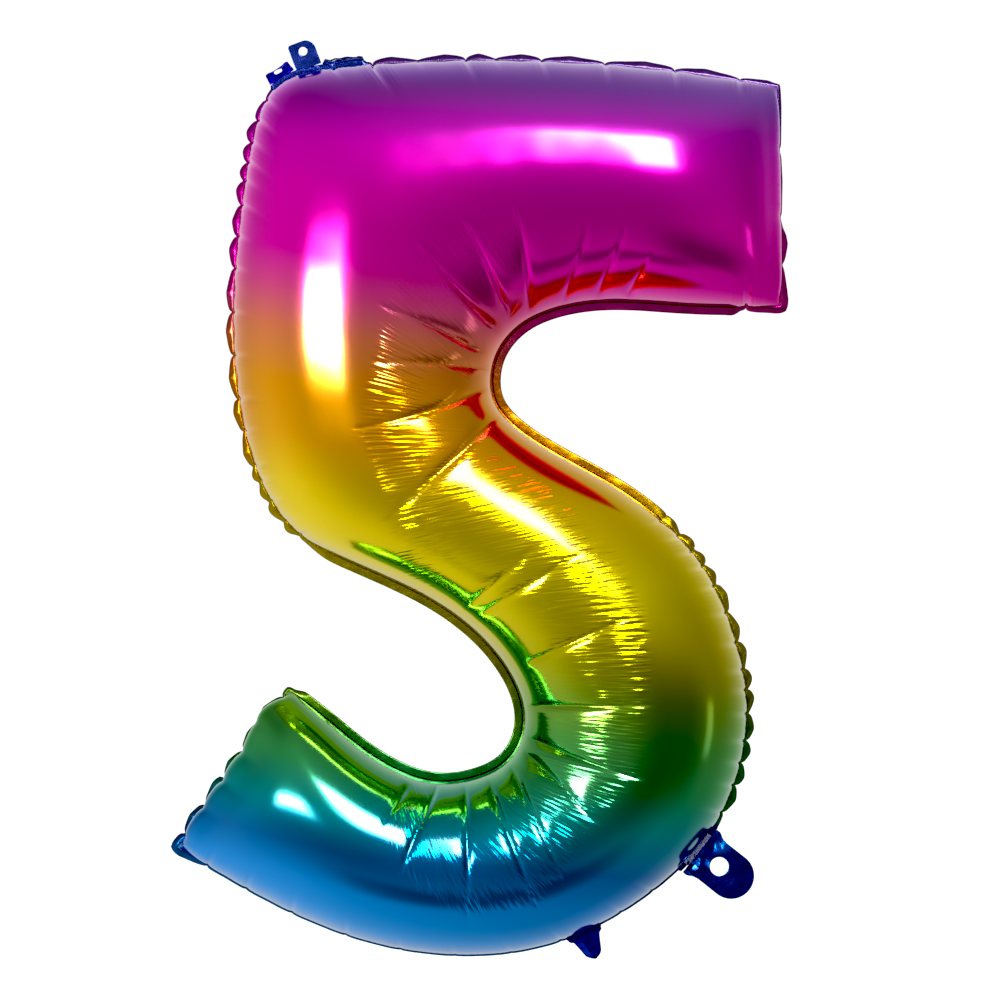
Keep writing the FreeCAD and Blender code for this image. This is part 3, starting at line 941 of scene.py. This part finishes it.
def finish_tab(settings, sheet, body, local, fold, colour, crinkle, satin=0.2):
    """Stands a tab's film on its fold, gives it its wall and look, and bends it at its root."""
    point, axis, outward = tab_frames()[body]
    x, y, z = local
    out, back, fold = z, np.zeros_like(z), math.radians(fold)
    if fold > 0:
        arc = np.clip(z, 0, FOLD_BEND) / FOLD_BEND * fold
        past = np.clip(z - FOLD_BEND, 0, None)
        out = np.where(z <= 0, z, FOLD_BEND / fold * np.sin(arc)) + past * math.cos(fold)
        back = FOLD_BEND / fold * (1 - np.cos(arc)) + past * math.sin(fold)
    turn = np.clip(z / FOLD_BEND, 0, 1) * fold
    out, back = out - y * np.sin(turn), back + y * np.cos(turn)
    lay_out(sheet, point + x[:, None] * axis + out[:, None] * outward
            + back[:, None] * np.array([0.0, 1.0, 0.0]))
    close_ring(sheet)
    give_thickness(sheet, settings.film.ply, 0.0)
    finish_film(sheet, crinkled_foil(settings, body + "_foil", colour, crinkle, satin))
    ply = body.replace("fill_", "") + "_ply"
    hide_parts("front_" + ply, "back_" + ply)
    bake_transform(sheet)


class BALLOON_OT_hanging_tabs(bpy.types.Operator):
    """Build the standing, left and right hanging tabs and the folded bottom tab"""
    bl_idname = "balloon.hanging_tabs"
    bl_label = "Hanging tabs"

    def execute(self, context):
        settings = settings_of(context)
        for body, size, radii, hole, fold, crumple, colour in HANGING_TABS:
            root, tip, top = size[0] / 2000, size[1] / 2000, size[2] / 1000
            outline = rounded_outline([(-root, TAB_FOOT), (-tip, top), (tip, top),
                                       (root, TAB_FOOT)],
                                      [0, radii[0] / 1000, radii[1] / 1000, 0])
            sheet, x, z = holed_film(body + "_film", outline, np.array(hole) / 1000,
                                     HANG_HOLE_RADIUS, 128, 22)
            rise = settings.film.crumple * crumple * creased(x, z, 0.011, len(body) * 7)
            y = rise * smooth(z, 0.0, 0.006) + 0.0004 * crumple * waves(x, z, 0.02, 3)
            y *= smooth(z, -0.001, 0.003)
            finish_tab(settings, sheet, body, (x, y, z), fold, getattr(settings.inks, colour),
                       0.0004 * crumple + 0.0001, 0.18)
        self.bottom(settings)
        return {"FINISHED"}

    def bottom(self, settings):
        """Tapered tab, folded lengthwise into three facets."""
        def half_width(z):
            taper = 0.017 - 0.010 * np.clip(z / 0.027, 0, 1) ** 0.7
            tip = np.sqrt(np.clip(1 - np.clip((z - 0.0215) / 0.0055, 0, 1) ** 2, 0.02, 1))
            return taper * tip

        sheet, column, row = film_grid("bottom_tab_film", 48, 40)
        z = TAB_FOOT + (0.027 - TAB_FOOT) * row / 40
        x = (1 - column / 24) * half_width(z)
        y = 0.9 * np.clip(np.abs(x) - 0.35 * half_width(z), 0, None) * smooth(z, 0.0, 0.008)
        y += settings.film.crumple * 0.8 * creased(x, z, 0.010, 77) * smooth(z, 0.001, 0.008)
        finish_tab(settings, sheet, "bottom_tab", (x, y, z), 20, settings.inks.foot_blue, 0.0004)


class BALLOON_OT_fill_tail(bpy.types.Operator):
    """Build the fill tail with its round hole and its crumpled neck"""
    bl_idname = "balloon.fill_tail"
    bl_label = "Fill tail"

    def execute(self, context):
        settings = settings_of(context)
        sheet, x, z = holed_film("fill_tail_film", self.outline(), (0.0, 0.023), 0.009, 176, 36)
        neck = 1 - smooth(z, 0.004, 0.022)
        y = settings.film.crumple * creased(x, z, 0.016, 41) * (0.22 + 0.9 * neck)
        y += 0.0012 * np.sin(x / 0.0045 + 0.8) * neck
        y += 0.0016 * waves(x, z, 0.045, 43)
        y *= smooth(z, -0.001, 0.004)
        finish_tab(settings, sheet, "fill_tail", (x, y, z), 0, settings.inks.tail_navy, 0.0004)
        return {"FINISHED"}

    def outline(self):
        """Up the flared root on one side, over the round end, down the other."""
        half, root, flare, top = 0.022, 0.0261, 0.014, 0.0595
        side = [(-root, TAB_FOOT), (-root, 0.0041)]
        for angle in np.radians((67.5, 90)):
            side.append((-half - flare * (1 - math.sin(angle)), flare * (1 - math.cos(angle))))
        arc = [(-half * math.cos(angle), top - half + half * math.sin(angle))
               for angle in np.radians(range(0, 181, 6))]
        return np.array(side + arc + [(-x, z) for x, z in reversed(side)])


class BALLOON_OT_valve_films(bpy.types.Operator):
    """Give the two valve films inside the balloon their clear film"""
    bl_idname = "balloon.valve_films"
    bl_label = "Valve films"

    def execute(self, context):
        material = clear_film()
        for hand in ("front", "back"):
            materials = frame["nodes"][hand + "_valve_film"].data.materials
            materials.clear()
            materials.append(material)
        return {"FINISHED"}


class BALLOON_OT_studio(bpy.types.Operator):
    """Set up the floor, the surrounding light, the softboxes and the camera"""
    bl_idname = "balloon.studio"
    bl_label = "Studio"

    def execute(self, context):
        studio = settings_of(context).studio
        self.floor(studio)
        self.surround(context)
        boxes = {"left_softbox": studio.left_box, "top_softbox": studio.top_box}
        for name, place, bearing, distance, size, radiance, core, cover in SOFTBOXES:
            self.softbox(name, placed(place), bearing, distance, size,
                         boxes.get(name, radiance), core, cover)
        self.camera(context, studio.camera_distance)
        view = context.scene.view_settings
        view.view_transform = "Standard"
        view.use_curve_mapping = True
        view.curve_mapping.black_level = (0.030, 0.030, 0.030)
        view.curve_mapping.update()
        return {"FINISHED"}

    def floor(self, studio):
        bpy.ops.object.select_all(action="DESELECT")
        bpy.ops.mesh.primitive_grid_add(x_subdivisions=8, y_subdivisions=8, size=60.0,
                                        location=(0.0, 0.0, -studio.floor_drop))
        floor = bpy.context.object
        floor.name = "studio_floor"
        nodes = Nodes(bpy.data.materials.new("pale_floor"))
        floor.data.materials.append(nodes.finish(nodes.add("BsdfPrincipled", {
            "Base Color": (0.9, 0.9, 0.9, 1.0), "Roughness": 0.8,
            "Emission Color": (1.0, 1.0, 1.0, 1.0), "Emission Strength": 0.75})))
        floor.visible_glossy = False

    def surround(self, context):
        """White to the eye; in the foil, soft lobes of light from all round."""
        context.scene.world = bpy.data.worlds.new("studio_surround")
        nodes = Nodes(context.scene.world)
        place = nodes.place("Generated")
        total = 0.0
        for azimuth, elevation, strength in SURROUND:
            near = nodes.add("VectorMath", {0: place, 1: bearing_to(azimuth, elevation)},
                             operation="DOT_PRODUCT").outputs["Value"]
            fall = nodes.math("MULTIPLY", nodes.math("SUBTRACT", near, 1.0), LOBE_SHARPNESS)
            glow = nodes.math("MULTIPLY", nodes.math("EXPONENT", fall), strength)
            total = nodes.math("ADD", total, glow)
        seen = nodes.add("LightPath").outputs["Is Camera Ray"]
        level = nodes.add("Mix", {"Factor": seen, "A": total, "B": 1.05}, data_type="FLOAT")
        nodes.finish(nodes.add("Background", {"Color": (1.0, 1.0, 1.0, 1.0),
                                              "Strength": level.outputs["Result"]}),
                     "OutputWorld")

    def softbox(self, name, target, bearing, distance, size, radiance, core, cover):
        """A glowing or dark panel, faded to its edges, that faces its target."""
        direction = bearing_to(*bearing)
        bpy.ops.object.select_all(action="DESELECT")
        bpy.ops.mesh.primitive_plane_add(
            size=1.0, location=np.array([target[0], 0.0, target[1]]) + direction * distance,
            rotation=facing(-direction))
        panel = bpy.context.object
        panel.name = name
        panel.scale = (size[0], size[1], 1.0)
        bpy.ops.object.transform_apply(location=True, rotation=True, scale=True)
        nodes = Nodes(bpy.data.materials.new(name + "_glow"))
        axes = nodes.axes(nodes.place("UV"))
        glow = nodes.math("MULTIPLY", *(
            nodes.ranged(nodes.math("ABSOLUTE", nodes.math("SUBTRACT", axes[axis], 0.5)),
                         0.5, core, 0.0, 1.0, interpolation_type="SMOOTHSTEP")
            for axis in ("X", "Y")))
        lamp = nodes.add("Emission", {"Strength": nodes.math("MULTIPLY", glow, radiance)})
        panel.data.materials.append(nodes.finish(nodes.add("MixShader", {
            "Fac": nodes.math("MULTIPLY", glow, cover),
            1: nodes.add("BsdfTransparent").outputs["BSDF"], 2: lamp.outputs["Emission"]})))
        panel.visible_camera = panel.visible_shadow = False

    def camera(self, context, distance):
        data = bpy.data.cameras.new("studio_camera")
        data.sensor_width = 36.0
        data.lens = data.sensor_width * distance / VIEW_WIDTH
        data.clip_end = 100.0
        camera = bpy.data.objects.new("studio_camera", data)
        context.scene.collection.objects.link(camera)
        camera.location = (VIEW_CENTRE[0], -distance, VIEW_CENTRE[1])
        camera.rotation_euler = (math.pi / 2, 0.0, 0.0)
        context.scene.camera = camera


def bearing_to(azimuth, elevation):
    """Unit vector towards a place left (-) or right (+) of the camera, and above or below it."""
    turn, rise = math.radians(azimuth), math.radians(elevation)
    return np.array([math.sin(turn) * math.cos(rise), -math.cos(turn) * math.cos(rise),
                     math.sin(rise)])


def facing(direction):
    """Turn of a panel that looks along a direction."""
    x, y, z = direction
    return (math.acos(-z), 0.0, math.atan2(-x, y))


class BALLOON_PT_sidebar(bpy.types.Panel):
    """Sizes, inks and builders of the balloon"""
    bl_idname = "BALLOON_PT_sidebar"
    bl_label = "Foil balloon five"
    bl_space_type = "VIEW_3D"
    bl_region_type = "UI"
    bl_category = "Balloon"

    def draw(self, context):
        settings = settings_of(context)
        for title in GROUPS:
            group = getattr(settings, title)
            box = self.layout.box()
            box.label(text=title.capitalize())
            for name in group.__annotations__:
                box.prop(group, name)
        for builder in BUILDERS:
            self.layout.operator(builder.bl_idname)


BUILDERS = (BALLOON_OT_foil_panels, BALLOON_OT_seam_band, BALLOON_OT_hanging_tabs,
            BALLOON_OT_fill_tail, BALLOON_OT_valve_films, BALLOON_OT_studio)
CLASSES = (*GROUPS.values(), BALLOON_PG_settings, *BUILDERS, BALLOON_PT_sidebar)


def register():
    for cls in CLASSES:
        bpy.utils.register_class(cls)
    bpy.types.Scene.balloon_five = bpy.props.PointerProperty(type=BALLOON_PG_settings)


def unregister():
    del bpy.types.Scene.balloon_five
    for cls in reversed(CLASSES):
        bpy.utils.unregister_class(cls)


def main():
    register()
    bpy.ops.balloon.foil_panels()
    bpy.ops.balloon.seam_band()
    bpy.ops.balloon.hanging_tabs()
    bpy.ops.balloon.fill_tail()
    bpy.ops.balloon.valve_films()
    bpy.ops.balloon.studio()


if __name__ == "__main__":
    main()
